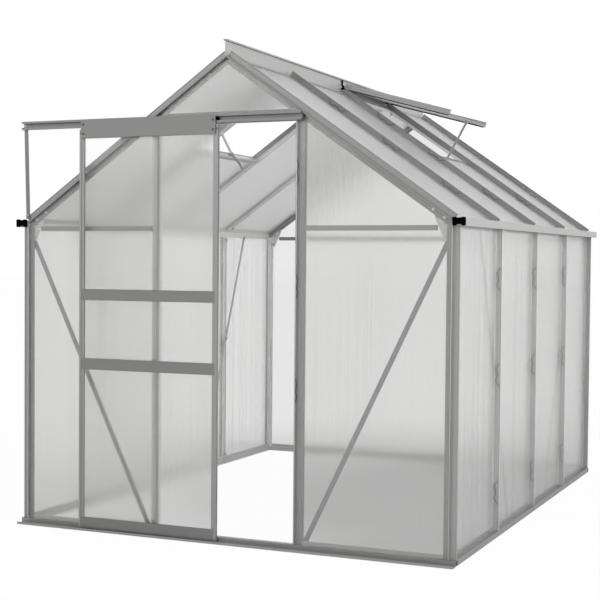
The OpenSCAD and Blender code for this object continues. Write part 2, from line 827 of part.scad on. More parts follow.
module door_stiles() {
    color(dark_alu) door() translate([0, 0, door_foot]) linear_extrude(door_top - door_foot) {
        stile_section();
        translate([door_w, 0]) mirror([1, 0]) stile_section();
    }
}

rail_x0 = stile_box + joint_gap;
rail_l = door_w - 2 * rail_x0;

// Two walls of a rail, outside the stiles' flanges
module rail_walls(h) {
    for (y = [pane_w - wall_w - ext_t, pane_w + wall_w]) translate([y, 0]) square([ext_t, h]);
}

// Web of a rail and the lips that grip the sheets, between the stiles
module rail_core(h, web_z, lips) {
    translate([pane_w - wall_w - ext_t / 2, web_z]) square([2 * wall_w + ext_t, ext_t]);
    for (z = lips, m = [0, 1]) translate([pane_w, z]) mirror([m, 0])
        translate([rail_gap, 0]) square([wall_w + ext_t / 2 - rail_gap, ext_t]);
}

module door_rails() {
    grip = plate_groove + ext_t;
    core_in = stile_w - stile_box;
    core_l = rail_l - 2 * core_in;
    color(dark_alu) door() translate([rail_x0, 0, 0]) {
        for (z = [door_foot, rail_low_z, rail_mid_z]) translate([0, 0, z]) {
            run_x(rail_l) rail_walls(rail_h);
            translate([core_in, 0, 0]) run_x(core_l)
                rail_core(rail_h, rail_h / 2 - ext_t / 2, [0, rail_h - ext_t]);
        }
        translate([0, 0, plate_z]) {
            run_x(rail_l) {
                rail_walls(grip);
                translate([plate_w - ext_t, 0]) square([ext_t, plate_drop + plate_rise]);
            }
            translate([core_in, 0, 0]) run_x(core_l) {
                rail_core(grip, grip - ext_t, [0]);
                translate([pane_w, grip - ext_t]) square([plate_w - pane_w, ext_t]);
            }
        }
    }
}

module door_panes() {
    x0 = stile_box + edge_gap;
    half = rail_h / 2 + ext_t / 2 + seat_gap;
    under = rail_h / 2 - ext_t / 2 - seat_gap;
    top = plate_z + plate_groove - seat_gap;
    spans = [[door_foot + half, rail_low_z + under], [rail_low_z + half, rail_mid_z + under],
        [rail_mid_z + half, top]];
    color(sheet) door() for (p = spans)
        translate([x0, pane_w - pane_t / 2, p[0]]) cube([door_w - 2 * x0, pane_t, p[1] - p[0]]);
}

// Rollers in the track, each on a stub axle behind the top plate
module door_rollers() {
    w0 = ext_t + seat_gap + roller_gap;
    color(black) door() for (x = [roller_in, door_w - roller_in])
        translate([x, w0, roller_z]) rotate([-90, 0, 0]) {
            cylinder(d = roller_d, h = roller_t);
            cylinder(d = axle_d, h = plate_w - ext_t - seat_gap - w0);
        }
}

front_sill();
rear_sill();
side_sill(true);  // left_sill
side_sill(false);  // right_sill
corner_post(true, true);  // front_left_post
corner_post(false, true);  // front_right_post
corner_post(true, false);  // rear_left_post
corner_post(false, false);  // rear_right_post
wall_bars(true);  // left_wall_bars
wall_bars(false);  // right_wall_bars
gutter(true);  // left_gutter
gutter(false);  // right_gutter
gutter_end_caps();
ridge_beam();
front_rafters();
rear_rafters();
roof_bars(true);  // left_roof_bars
roof_bars(false);  // right_roof_bars
door_post(true);  // left_door_post
door_post(false);  // right_door_post
door_header();
rear_studs();
front_eave_strips();
rear_eave_strips();
front_braces();
side_braces();
corner_gussets();
door_track();
track_strut();
wall_panes(true);  // left_wall_panes
wall_panes(false);  // right_wall_panes
roof_panes(true, left_vent_bay);  // left_roof_panes
roof_panes(false, right_vent_bay);  // right_roof_panes
front_panes();
rear_panes();
vent_frame(true, left_vent_bay, leaf_angle_left);  // left_vent_frame
vent_frame(false, right_vent_bay, leaf_angle_right);  // right_vent_frame
vent_pane(true, left_vent_bay, leaf_angle_left);  // left_vent_pane
vent_pane(false, right_vent_bay, leaf_angle_right);  // right_vent_pane
vent_sills();
vent_stays();
door_stiles();
door_rails();
door_panes();
door_rollers();
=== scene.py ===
import math

import bmesh
import bpy
from mathutils import Matrix, Vector


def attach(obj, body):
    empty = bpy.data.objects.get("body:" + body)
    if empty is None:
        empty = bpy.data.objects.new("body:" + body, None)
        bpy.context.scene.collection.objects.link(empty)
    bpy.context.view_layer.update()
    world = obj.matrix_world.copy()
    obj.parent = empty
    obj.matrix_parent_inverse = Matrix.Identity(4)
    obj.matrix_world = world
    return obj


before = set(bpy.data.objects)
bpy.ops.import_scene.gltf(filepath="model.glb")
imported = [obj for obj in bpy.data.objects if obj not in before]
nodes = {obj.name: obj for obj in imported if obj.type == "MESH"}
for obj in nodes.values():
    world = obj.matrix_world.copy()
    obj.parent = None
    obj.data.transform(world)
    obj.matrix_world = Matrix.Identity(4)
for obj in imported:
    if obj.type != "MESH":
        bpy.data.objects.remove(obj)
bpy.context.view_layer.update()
print("frame loaded,", len(nodes), "nodes")

# the house in metres, as the solids have it; a seat is the plane that the panes lie on
house = {
    "yFront": -1.236, "yRear": 1.264, "bay": 0.625, "seatX": 0.922, "apexZ": 1.91659,
    "pitch": 35.0, "gableFin": 0.018, "roofFin": 0.028, "channel": 0.012,
    "doorPostX": 0.301, "studX": 0.316,
}
vents = {1: {"bay": 2, "fall": 15.4}, -1: {"bay": 1, "fall": 15.3}}  # right 1, left -1
cosPitch = math.cos(math.radians(house["pitch"]))
sinPitch = math.sin(math.radians(house["pitch"]))
barYs = [house["yFront"] + house["bay"] * i for i in (1, 2, 3)]
frontSeat = house["yFront"] + house["gableFin"]
rearSeat = house["yRear"] - house["gableFin"]


def onSlope(s, y, n, hand):  # s down the slope, n out of it, hand 1 right and -1 left
    return Vector((hand * (s * cosPitch + n * sinPitch), y,
                   house["apexZ"] - s * sinPitch + n * cosPitch))


def rafterZ(x, n):  # height of the rafter's line n out of the pane seat
    return house["apexZ"] - x * sinPitch / cosPitch + n / cosPitch


# camera, fitted to the bars' ends in the photo; focal and middle in its pixels
camera = {
    "place": (2.3368, -5.9995, 1.1248), "yaw": 24.2243, "pitch": 2.0186, "roll": -0.4393,
    "focal": 1349.707, "middle": (269.17, 306.74), "image": 600.0, "sensor": 36.0,
    "clipEnd": 200.0,
}


def setCamera():
    yaw, pitch, roll = (math.radians(camera[k]) for k in ("yaw", "pitch", "roll"))
    ahead = Vector((-math.sin(yaw) * math.cos(pitch), math.cos(yaw) * math.cos(pitch),
                    -math.sin(pitch)))
    level = Vector((math.cos(yaw), math.sin(yaw), 0.0))
    down = ahead.cross(level)
    right = math.cos(roll) * level + math.sin(roll) * down
    up = math.sin(roll) * level - math.cos(roll) * down
    data = bpy.data.cameras.new("photoCamera")
    data.sensor_width = camera["sensor"]
    data.lens = camera["sensor"] * camera["focal"] / camera["image"]
    data.shift_x = 0.5 - camera["middle"][0] / camera["image"]
    data.shift_y = camera["middle"][1] / camera["image"] - 0.5
    data.clip_end = camera["clipEnd"]
    cam = bpy.data.objects.new("photoCamera", data)
    turn = Matrix((right, up, -ahead)).transposed().to_4x4()
    cam.matrix_world = Matrix.Translation(camera["place"]) @ turn
    bpy.context.scene.collection.objects.link(cam)
    bpy.context.scene.camera = cam


setCamera()
print("camera set")


class Flow:  # one socket, so that shader maths reads as plain expressions
    def __init__(self, tree, socket=None):
        self.tree = tree
        self.socket = socket

    def add(self, kind, settings=None, sockets=None, out=0):
        made = self.tree.nodes.new(kind)
        for key, value in (settings or {}).items():
            setattr(made, key, value)
        for key, value in (sockets or {}).items():
            self.feed(made, key, value)
        return Flow(self.tree, made.outputs[out] if len(made.outputs) else None)

    def feed(self, node, key, value):  # links what varies, sets what is the same all over
        if isinstance(value, Flow):
            self.tree.links.new(value.socket, node.inputs[key])
        else:
            node.inputs[key].default_value = value

    def twin(self, key):  # another output of the same node
        return Flow(self.tree, self.socket.node.outputs[key])

    def maths(self, operation, a, b=0.0):
        return self.add("ShaderNodeMath", {"operation": operation}, {0: a, 1: b})

    def clamped(self):
        return self.add("ShaderNodeClamp", None, {"Value": self})

    def part(self):  # what follows the point
        return self.maths("FRACT", self)

    def __add__(self, other):
        return self.maths("ADD", self, other)

    def __radd__(self, other):
        return self.maths("ADD", other, self)

    def __sub__(self, other):
        return self.maths("SUBTRACT", self, other)

    def __rsub__(self, other):
        return self.maths("SUBTRACT", other, self)

    def __mul__(self, other):
        return self.maths("MULTIPLY", self, other)

    def __rmul__(self, other):
        return self.maths("MULTIPLY", other, self)

    def __abs__(self):
        return self.maths("ABSOLUTE", self)


def newMaterial(name):
    material = bpy.data.materials.new(name)
    material.use_nodes = True
    tree = material.node_tree
    shader = next(n for n in tree.nodes if n.type == "BSDF_PRINCIPLED")
    flow = Flow(tree)
    return material, flow, shader, flow.add("ShaderNodeTexCoord", out="Object")


def dress(flow, shader, sockets):
    for key, value in sockets.items():
        flow.feed(shader, key, value)


def axes(flow, place):
    x = flow.add("ShaderNodeSeparateXYZ", None, {0: place})
    return x, x.twin(1), x.twin(2)


def noise(flow, place, scale, detail, rough=0.5):
    return flow.add("ShaderNodeTexNoise", None, {
        "Vector": place, "Scale": scale, "Detail": detail, "Roughness": rough})


def bands(flow, value, scale, detail, rough=0.5):  # noise along one value
    return flow.add("ShaderNodeTexNoise", {"noise_dimensions": "1D"}, {
        "W": value * scale, "Scale": 1.0, "Detail": detail, "Roughness": rough})


def relief(flow, height, bump, **more):
    strength, depth = bump
    return flow.add("ShaderNodeBump", None, {
        "Strength": strength, "Distance": depth, "Height": height, **more})


def blendColour(flow, mask, low, high):
    low, high = (c if isinstance(c, Flow) else (*c, 1.0) for c in (low, high))
    return flow.add("ShaderNodeMix", {"data_type": "RGBA"},
                    {"Factor": mask, 6: low, 7: high}, out=2)


# drawn aluminium: fine lines along the profile over a soft cloud; here and below a pattern is
# scale, detail and, where it isn't a half, roughness, and a bump is strength and depth
extruded = {
    "tint": (1.0, 1.0, 0.985), "spread": (0.86, 1.14), "across": 700.0, "along": 5.0,
    "lines": (1.0, 3.0), "cloud": (11.0, 5.0, 0.6), "lineShare": 0.55, "cloudShare": 0.45,
    "metal": 0.85, "rough": 0.36, "lineRough": 0.10, "cloudRough": 0.08, "bump": (0.12, 0.0004),
    "seat": 0.002, "paintedLightEdge": 800.0,  # how far and how sharply the outer tone gives way to the inside grey, which is painted light
}


def paintedLightInside(x, y, z):  # 1 on the seats and behind the panes, 0 on what stands outside; the mask of the painted light inside
    def within(depth):
        return ((depth + extruded["seat"]) * extruded["paintedLightEdge"]).clamped()

    middle = (frontSeat + rearSeat) / 2
    return (within(house["seatX"] - abs(x)) * within(rearSeat - middle - abs(y - middle))
            * within(house["apexZ"] * cosPitch - abs(x) * sinPitch - z * cosPitch))


def extrudedAluminium(name, outer, inner, runs):  # greys outside and inside, the way it runs; the inside grey is painted light
    material, flow, shader, place = newMaterial(name)
    x, y, z = axes(flow, place)
    if runs == "slope":  # both roof sides at once
        along = abs(x) * cosPitch - z * sinPitch
        first, second = abs(x) * sinPitch + z * cosPitch, y
    else:
        along, first, second = {"x": (x, y, z), "y": (y, x, z), "z": (z, x, y)}[runs]
    lines = flow.add("ShaderNodeCombineXYZ", None, {
        0: along * extruded["along"], 1: first * extruded["across"],
        2: second * extruded["across"]})
    streak = noise(flow, lines, *extruded["lines"])
    cloud = noise(flow, place, *extruded["cloud"])
    mask = streak * extruded["lineShare"] + cloud * extruded["cloudShare"]

    def metal(tone):
        return blendColour(flow, mask, *(
            [tone * k * c for c in extruded["tint"]] for k in extruded["spread"]))

    colour = metal(outer)
    if inner != outer:  # painted light and shade: behind the pane seats the metal takes the inner grey, lighter wherever the two differ, standing in for how differently the parts inside and outside the panes are lit
        colour = blendColour(flow, paintedLightInside(x, y, z), colour, metal(inner))
    dress(flow, shader, {
        "Base Color": colour, "Metallic": extruded["metal"],
        "Roughness": (extruded["rough"] + extruded["lineRough"] * streak
                      + extruded["cloudRough"] * cloud),
        "Normal": relief(flow, streak, extruded["bump"])})
    return material


# fluted plastic sheet: webs at a pitch, streaks along them, light thrown sideways
sheet = {
    "pitch": 0.006, "webFrom": 0.36, "webEdge": 9.0, "streak": (90.0, 5.0, 0.75),
    "cloud": (2.4, 3.0), "ripple": (1300.0, 1.0), "scatter": 0.70,
    "light": (1.0, 1.0, 0.995), "dim": (0.86, 0.863, 0.857), "lightness": 1.1,
    "webDim": 0.2, "streakDim": 0.5, "cloudDim": 0.3, "streakRough": 0.05, "webRough": 0.04,
    "bump": (0.08, 0.0004), "through": 0.97, "ior": 1.42,
}


def twinWallSheet(name, paintedShade, rough, across):  # across is the way from flute to flute
    material, flow, shader, place = newMaterial(name)
    u = axes(flow, place)["xyz".index(across)]
    cell = abs((u * (1.0 / sheet["pitch"])).part() - 0.5)  # 0.5 at a web, 0 between two
    web = ((cell - sheet["webFrom"]) * sheet["webEdge"]).clamped()
    streak = bands(flow, u, *sheet["streak"])
    cloud = noise(flow, place, *sheet["cloud"])
    mask = (sheet["lightness"] - sheet["webDim"] * web - sheet["streakDim"] * streak
            - sheet["cloudDim"] * cloud).clamped()
    ripple = bands(flow, u, *sheet["ripple"])
    lean = (ripple - 0.5) * sheet["scatter"]  # to the sides, not up or down
    sideways = flow.add("ShaderNodeCombineXYZ", None, {across.upper(): lean})
    face = flow.add("ShaderNodeNewGeometry", out="Normal")
    tilted = flow.add("ShaderNodeVectorMath", {"operation": "NORMALIZE"}, {
        0: flow.add("ShaderNodeVectorMath", {"operation": "ADD"}, {0: face, 1: sideways})})
    # painted shade: each copy of the sheet is darkened by its own amount, standing in for how
    # much light reaches that face of the house
    dim, light = ([c * paintedShade for c in sheet[k]] for k in ("dim", "light"))
    dress(flow, shader, {
        "Base Color": blendColour(flow, mask, dim, light),
        "Roughness": rough + sheet["streakRough"] * streak + sheet["webRough"] * web,
        "Normal": relief(flow, cell, sheet["bump"], Normal=tilted),
        "Transmission Weight": sheet["through"], "IOR": sheet["ior"]})
    return material


zinc = {"grain": (380.0, 3.0), "spangle": 120.0, "grainShare": 0.6, "spangleShare": 0.5,
        "spread": (0.8, 1.15), "metal": 0.95, "rough": 0.34, "grainRough": 0.2,
        "bump": (0.1, 0.0003)}


def zincSteel(name, tone):
    material, flow, shader, place = newMaterial(name)
    grain = noise(flow, place, *zinc["grain"])
    spangle = flow.add("ShaderNodeTexVoronoi", None, {
        "Vector": place, "Scale": zinc["spangle"]})
    mask = (grain * zinc["grainShare"] + spangle * zinc["spangleShare"]).clamped()
    dress(flow, shader, {
        "Base Color": blendColour(flow, mask, *([tone * k] * 3 for k in zinc["spread"])),
        "Metallic": zinc["metal"], "Roughness": zinc["rough"] + zinc["grainRough"] * grain,
        "Normal": relief(flow, grain, zinc["bump"])})
    return material


moulded = {"tone": 0.0006, "worn": 0.0015, "grain": (900.0, 2.0), "scuff": (40.0, 4.0),
           "rough": 0.5, "scuffRough": 0.2, "gloss": 0.01, "bump": (0.2, 0.0003)}


def blackPlastic(name):
    material, flow, shader, place = newMaterial(name)
    grain = noise(flow, place, *moulded["grain"])
    scuff = noise(flow, place, *moulded["scuff"])
    dress(flow, shader, {
        "Base Color": blendColour(flow, scuff, [moulded["tone"]] * 3, [moulded["worn"]] * 3),
        "Roughness": moulded["rough"] + moulded["scuffRough"] * scuff,
        "Specular IOR Level": moulded["gloss"],
        "Normal": relief(flow, grain, moulded["bump"])})
    return material


# finish: its maker, what the maker takes after the name, and the nodes that wear it
wears = {
    # an aluminium row's two greys are for outside and inside the pane seats; where they differ,
    # the lighter inside grey is painted light
    "sillAcross": (extrudedAluminium, (0.31, 0.60, "x"), ["front_sill", "rear_sill"]),
    "sillLong": (extrudedAluminium, (0.30, 0.70, "y"), ["left_sill", "right_sill"]),
    "stripAcross": (extrudedAluminium, (0.28, 0.28, "x"), [
        "door_header", "front_eave_strips", "rear_eave_strips"]),
    "trackAcross": (extrudedAluminium, (0.225, 0.225, "x"), ["door_track"]),
    "gutterLong": (extrudedAluminium, (0.46, 0.80, "y"), [
        "left_gutter", "right_gutter", "ridge_beam", "vent_sills"]),
    "frontPosts": (extrudedAluminium, (0.35, 0.42, "z"), [
        "front_left_post", "front_right_post"]),
    "rearPosts": (extrudedAluminium, (0.37, 0.80, "z"), [
        "rear_left_post", "rear_right_post", "rear_studs"]),
    "leftDoorPost": (extrudedAluminium, (0.34, 0.75, "z"), ["left_door_post"]),
    "rightDoorPost": (extrudedAluminium, (0.36, 0.36, "z"), ["right_door_post"]),
    "wallBars": (extrudedAluminium, (0.52, 0.85, "z"), ["left_wall_bars", "right_wall_bars"]),
    "rafters": (extrudedAluminium, (0.29, 0.38, "slope"), ["front_rafters", "rear_rafters"]),
    "roofBars": (extrudedAluminium, (0.28, 0.80, "slope"), [
        "left_roof_bars", "right_roof_bars"]),
    "ventFrames": (extrudedAluminium, (0.34, 0.34, "slope"), [
        "left_vent_frame", "right_vent_frame"]),
    "doorAcross": (extrudedAluminium, (0.215, 0.215, "x"), ["door_rails"]),
    "doorUpright": (extrudedAluminium, (0.31, 0.31, "z"), ["door_stiles"]),
    "straps": (zincSteel, (0.37,), ["front_braces", "vent_stays"]),
    # painted shade: the track strut at the left gets a darker grey than the other straps,
    # standing in for the weaker light on that side
    "strut": (zincSteel, (0.22,), ["track_strut"]),
    "sideStraps": (zincSteel, (0.50,), ["side_braces"]),
    "gussets": (zincSteel, (0.68,), ["corner_gussets"]),
    "bolts": (zincSteel, (0.46,), []),
    "brightBolts": (zincSteel, (0.85,), []),
    "darkBolts": (zincSteel, (0.10,), []),
    "clipWire": (zincSteel, (0.03,), []),
    # painted shade: the first number darkens the same sheet by a different amount on each face,
    # the left wall darker than the right, standing in for the light each face gets
    "gableSheet": (twinWallSheet, (0.90, 0.06, "x"), ["front_panes", "rear_panes"]),
    "doorSheet": (twinWallSheet, (1.0, 0.10, "x"), ["door_panes"]),
    "leftSheet": (twinWallSheet, (0.92, 0.10, "y"), ["left_wall_panes"]),
    "rightSheet": (twinWallSheet, (1.0, 0.10, "y"), ["right_wall_panes"]),
    "roofSheet": (twinWallSheet, (0.90, 0.34, "y"), [
        "left_roof_panes", "right_roof_panes", "left_vent_pane", "right_vent_pane"]),
    "black": (blackPlastic, (), ["gutter_end_caps", "door_rollers"]),
}
finishes = {}
for finish, (maker, looks, names) in wears.items():
    finishes[finish] = maker(finish, *looks)
    for name in names:
        mesh = nodes[name].data
        mesh.materials.clear()
        mesh.materials.append(finishes[finish])
print("finishes on", sum(len(row[2]) for row in wears.values()), "nodes")


# small pieces: every one is built at its place, in metres
def turned(facing):  # turns +Z to the way a fastener faces
    return Vector(facing).to_track_quat("Z", "Y").to_matrix().to_4x4()


def finishPiece(bm, name, material, body):
    bmesh.ops.recalc_face_normals(bm, faces=bm.faces)
    mesh = bpy.data.meshes.new(name)
    bm.to_mesh(mesh)
    bm.free()
    mesh.materials.append(finishes[material])
    piece = bpy.data.objects.new(name, mesh)
    bpy.context.scene.collection.objects.link(piece)
    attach(piece, body)
    print(name, len(mesh.polygons), "faces")


def roundEdges(bm, edges, chamfer):
    bmesh.ops.bevel(bm, geom=edges, offset=chamfer, offset_type="OFFSET", affect="EDGES",
                    segments=2, profile=0.5, material=-1)


def addRod(bm, spot, facing, radius, rise, chamfer=0.0, sides=14, top=None):
    spot, facing = Vector(spot), Vector(facing).normalized()
    made = bmesh.ops.create_cone(
        bm, cap_ends=True, segments=sides, radius1=radius,
        radius2=radius if top is None else top, depth=rise,
        matrix=Matrix.Translation(spot + facing * rise / 2) @ turned(facing))
    if chamfer:
        rim = {e for v in made["verts"] for e in v.link_edges
               if all((p.co - spot).dot(facing) > rise / 2 for p in e.verts)}
        roundEdges(bm, list(rim), chamfer)


nut = {"washer": (0.0068, 0.0012, 0.0003), "flats": 0.010, "deep": 0.0046, "chamfer": 0.0008,
       "thread": 0.0029, "end": 0.0035, "taper": 0.8}


def addNut(bm, spot, facing):
    spot, facing = Vector(spot), Vector(facing).normalized()
    addRod(bm, spot, facing, *nut["washer"])
    seat = spot + facing * nut["washer"][1]
    addRod(bm, seat, facing, nut["flats"] / math.sqrt(3), nut["deep"], nut["chamfer"], sides=6)
    addRod(bm, seat, facing, nut["thread"], nut["deep"] + nut["end"], sides=10,
           top=nut["thread"] * nut["taper"])


def addBlock(bm, middle, size, chamfer, turn=Matrix.Identity(4)):
    made = bmesh.ops.create_cube(
        bm, size=1.0,
        matrix=Matrix.Translation(middle) @ turn @ Matrix.Diagonal((*size, 1.0)))
    roundEdges(bm, list({e for v in made["verts"] for e in v.link_edges}), chamfer)


def addWire(bm, points, radius, sides=6):
    points = [Vector(p) for p in points]
    steps = [(b - a).normalized() for a, b in zip(points, points[1:])]
    ways = [steps[0], *[(a + b).normalized() for a, b in zip(steps, steps[1:])], steps[-1]]
    ring = bmesh.ops.create_circle(
        bm, cap_ends=True, segments=sides, radius=radius,
        matrix=Matrix.Translation(points[0]) @ turned(ways[0]))["verts"]
    end = ring[0].link_faces[0]
    for i in range(1, len(points)):
        made = bmesh.ops.extrude_face_region(bm, geom=[end])["geom"]
        verts = [g for g in made if isinstance(g, bmesh.types.BMVert)]
        end = next(g for g in made if isinstance(g, bmesh.types.BMFace))
        bmesh.ops.translate(bm, vec=points[i] - points[i - 1], verts=verts)
        bmesh.ops.rotate(bm, cent=points[i], verts=verts,
                         matrix=ways[i - 1].rotation_difference(ways[i]).to_matrix())


# spring wire clips that press the sheets on to the bars, with places along each kind of bar
clip = {"half": 0.048, "bends": (0.15, 0.5, 1.0), "near": 0.0026, "reach": 0.006,
        "wire": 0.0011, "sheetTop": 0.0058, "underBead": 0.0070, "ventEnd": 0.6,
        "walls": (0.18, 0.66, 1.05), "posts": (0.62, 1.02, 1.46), "roof": (0.26, 0.56, 0.88)}


def addClip(bm, root, along, away, out, fin):
    root = Vector(root)
    high, low = fin - clip["underBead"], clip["sheetTop"]
    inner, outer, end = clip["bends"]
    half = [(inner, clip["near"], (high + low) / 2), (outer, clip["reach"], low),
            (end, clip["near"], high)]
    spots = [(-a, b, c) for a, b, c in reversed(half)] + half
    addWire(bm, [root + along * (a * clip["half"]) + away * b + out * c for a, b, c in spots],
            clip["wire"])


def makeClips():
    bm = bmesh.new()
    up, side, deep = Vector((0, 0, 1)), Vector((1, 0, 0)), Vector((0, 1, 0))
    for hand in (1, -1):
        downhill = Vector((hand * cosPitch, 0, -sinPitch))
        skyward = Vector((hand * sinPitch, 0, cosPitch))
        bay = vents[hand]["bay"]
        besideVent = ((barYs[bay - 1], 1), (barYs[bay], -1))
        for y in barYs:
            for way in (1, -1):
                for z in clip["walls"]:
                    addClip(bm, (hand * house["seatX"], y, z), up, deep * way, side * hand,
                            house["roofFin"])
                for s in clip["roof"]:
                    if (y, way) not in besideVent or s >= clip["ventEnd"]:
                        addClip(bm, onSlope(s, y, 0.0, hand), downhill, deep * way, skyward,
                                house["roofFin"])
        for z in clip["posts"]:
            addClip(bm, (hand * house["doorPostX"], frontSeat, z), up, side * hand, -deep,
                    house["gableFin"])
            for way in (1, -1):
                addClip(bm, (hand * house["studX"], rearSeat, z), up, side * way, deep,
                        house["gableFin"])
    finishPiece(bm, "glazing_clips", "clipWire", "frame")


makeClips()

# nuts on bolt channels, gussets and straps, all inside; heads are radius, rise and chamfer
joints = {
    "barFoot": 0.052, "barHead": 1.226, "studHead": 1.60, "roofHead": 0.050, "roofFoot": 1.072,
    "gussetRafter": (0.858, 0.890), "gussetDrop": 0.0245, "gussetPost": (0.898, 1.212),
    "gussetBack": 0.0042, "gussetFront": 0.0022, "head": (0.0052, 0.0017, 0.0006),
    "flangeXs": (0.8442, 0.8869), "flangeDrop": 0.0099, "flatHead": (0.0056, 0.00016),
    "braceFoot": (0.344, 0.034), "braceTop": (0.8977, 1.186), "braceBack": 0.0064,
}


def makeFrameNuts():
    bm, heads = bmesh.new(), bmesh.new()
    spots = [(x, rafterZ(x, -joints["gussetDrop"])) for x in joints["gussetRafter"]]
    for hand in (1, -1):
        inward = Vector((-hand, 0, 0))
        under = Vector((-hand * sinPitch, 0, -cosPitch))
        for y in barYs:
            for z in (joints["barFoot"], joints["barHead"]):
                addNut(bm, (hand * (house["seatX"] - house["channel"]), y, z), inward)
            for s in (joints["roofHead"], joints["roofFoot"]):
                addNut(bm, onSlope(s, y, -house["channel"], hand), under)
        for seat, inside in ((frontSeat, 1), (rearSeat, -1)):
            back = seat + inside * joints["gussetBack"]
            front = seat + inside * joints["gussetFront"]
            for x, z in (*spots, joints["gussetPost"]):
                addNut(bm, (hand * x, back, z), (0, inside, 0))
                addRod(bm, (hand * x, front, z), (0, -inside, 0), *joints["head"])
        for x in joints["flangeXs"]:  # flat heads in the gap between rafter flange and pane
            addRod(heads, (hand * x, frontSeat, rafterZ(x, -joints["flangeDrop"])), (0, -1, 0),
                   *joints["flatHead"])
        for x, z in (joints["braceFoot"], joints["braceTop"]):
            addNut(bm, (hand * x, frontSeat + joints["braceBack"], z), (0, 1, 0))
        for z in (joints["barFoot"], joints["studHead"]):
            addNut(bm, (hand * house["studX"], rearSeat - house["channel"], z), (0, -1, 0))
    finishPiece(bm, "frame_nuts", "bolts", "frame")
    finishPiece(heads, "rafter_heads", "brightBolts", "frame")


makeFrameNuts()

# side braces are bolted at both ends and where they cross a bar
braceBolts = {"spots": ((-0.269, 0.034), (0.0, 0.689), (0.224, 1.242)), "face": 0.9078}


def makeBraceNuts():
    bm = bmesh.new()
    middle = (house["yFront"] + house["yRear"]) / 2
    for hand in (1, -1):
        for half in (1, -1):
            for run, z in braceBolts["spots"]:
                y = middle + half * (house["bay"] + run)
                addNut(bm, (hand * braceBolts["face"], y, z), (-hand, 0, 0))
    finishPiece(bm, "brace_nuts", "bolts", "frame")


makeBraceNuts()

# a low head in the track's end and a nut at its strut's foot
trackBolts = {"spot": (-0.931, -1.2382, 1.674), "head": (0.0055, 0.0022, 0.0009),
              "strutFoot": (-0.931, -1.2234, 1.300)}


def makeTrackHeads():
    bm = bmesh.new()
    addRod(bm, trackBolts["spot"], (0, -1, 0), *trackBolts["head"])
    addNut(bm, trackBolts["strutFoot"], (0, -1, 0))
    finishPiece(bm, "track_heads", "bolts", "frame")


makeTrackHeads()

# door: two bolts at each end of the top plate, one on each stile, slides under its foot
doorBits = {
    "left": -0.6555, "width": 0.633, "plateY": -1.261, "plateZ": (1.6305, 1.669),
    "plateIn": 0.021, "plateHead": (0.0046, 0.0026, 0.0012), "stileY": -1.256,
    "stileIn": 0.0046, "stileZ": 1.634, "stileHead": (0.0036, 0.0022, 0.0010),
    "slide": (0.030, 0.0082, 0.0062), "slideIn": 0.050, "slideZ": 0.0066, "slideY": -1.2485,
    "slideChamfer": 0.0012,
}


def makeDoorBits():
    bolts, slides = bmesh.new(), bmesh.new()
    left = doorBits["left"]
    for edge, way in ((left, 1), (left + doorBits["width"], -1)):
        for z in doorBits["plateZ"]:
            addRod(bolts, (edge + way * doorBits["plateIn"], doorBits["plateY"], z), (0, -1, 0),
                   *doorBits["plateHead"])
        addRod(bolts, (edge + way * doorBits["stileIn"], doorBits["stileY"],
                       doorBits["stileZ"]), (0, -1, 0), *doorBits["stileHead"])
        addBlock(slides, (edge + way * doorBits["slideIn"], doorBits["slideY"],
                          doorBits["slideZ"]), doorBits["slide"], doorBits["slideChamfer"])
    finishPiece(bolts, "door_bolts", "darkBolts", "door")
    finishPiece(slides, "door_slides", "black", "door")


makeDoorBits()

# vents: ears and a pin at both ends of each stay, a seal under each side rail of a leaf, and
# at each end of the hinge a stop with its plate; runs and drops are from the hinge line
ventBits = {
    "hinge": (0.0118, 1.94059), "kneeS": 0.5227, "headRun": 0.533, "headDrop": 0.0095,
    "ear": (0.016, 0.002, 0.013), "earGap": 0.0042, "earChamfer": 0.0006,
    "pin": (0.003, 0.011, 0.0008), "pinSides": 12,
    "seal": (0.510, 0.009, 0.0042), "sealFrom": 0.022, "sealChamfer": 0.0012,
    "railHalf": 0.0042, "railIn": 0.0028,
    "stopX": 0.0017, "lip": 1.97659, "stem": (0.006, 0.007), "stemChamfer": 0.0012,
    "foot": (0.014, 0.018, 0.018), "footChamfer": 0.003,
    "plateX": 0.0016, "plate": (0.003, 0.026, 0.024), "plateChamfer": 0.0008,
}


def onLeaf(run, drop, y, hand):  # a place below a leaf, which falls from the hinge
    hingeX, hingeZ = ventBits["hinge"]
    fall = math.radians(vents[hand]["fall"])
    return Vector((hand * (hingeX + run * math.cos(fall) - drop * math.sin(fall)), y,
                   hingeZ - run * math.sin(fall) - drop * math.cos(fall)))


def addStayEnd(bm, spot, lean, hand):
    turn = Matrix.Rotation(math.radians(lean) * hand, 4, "Y")
    for way in (1, -1):
        addBlock(bm, spot + Vector((0, way * ventBits["earGap"], 0)), ventBits["ear"],
                 ventBits["earChamfer"], turn)
        addRod(bm, spot, (0, way, 0), *ventBits["pin"], sides=ventBits["pinSides"])


def addSeal(bm, y, way, hand):
    length, width, height = ventBits["seal"]
    spot = onLeaf(ventBits["sealFrom"] + length / 2, ventBits["railHalf"] + height / 2,
                  y + way * (ventBits["railIn"] + width / 2), hand)
    turn = Matrix.Rotation(math.radians(vents[hand]["fall"]) * hand, 4, "Y")
    addBlock(bm, spot, ventBits["seal"], ventBits["sealChamfer"], turn)


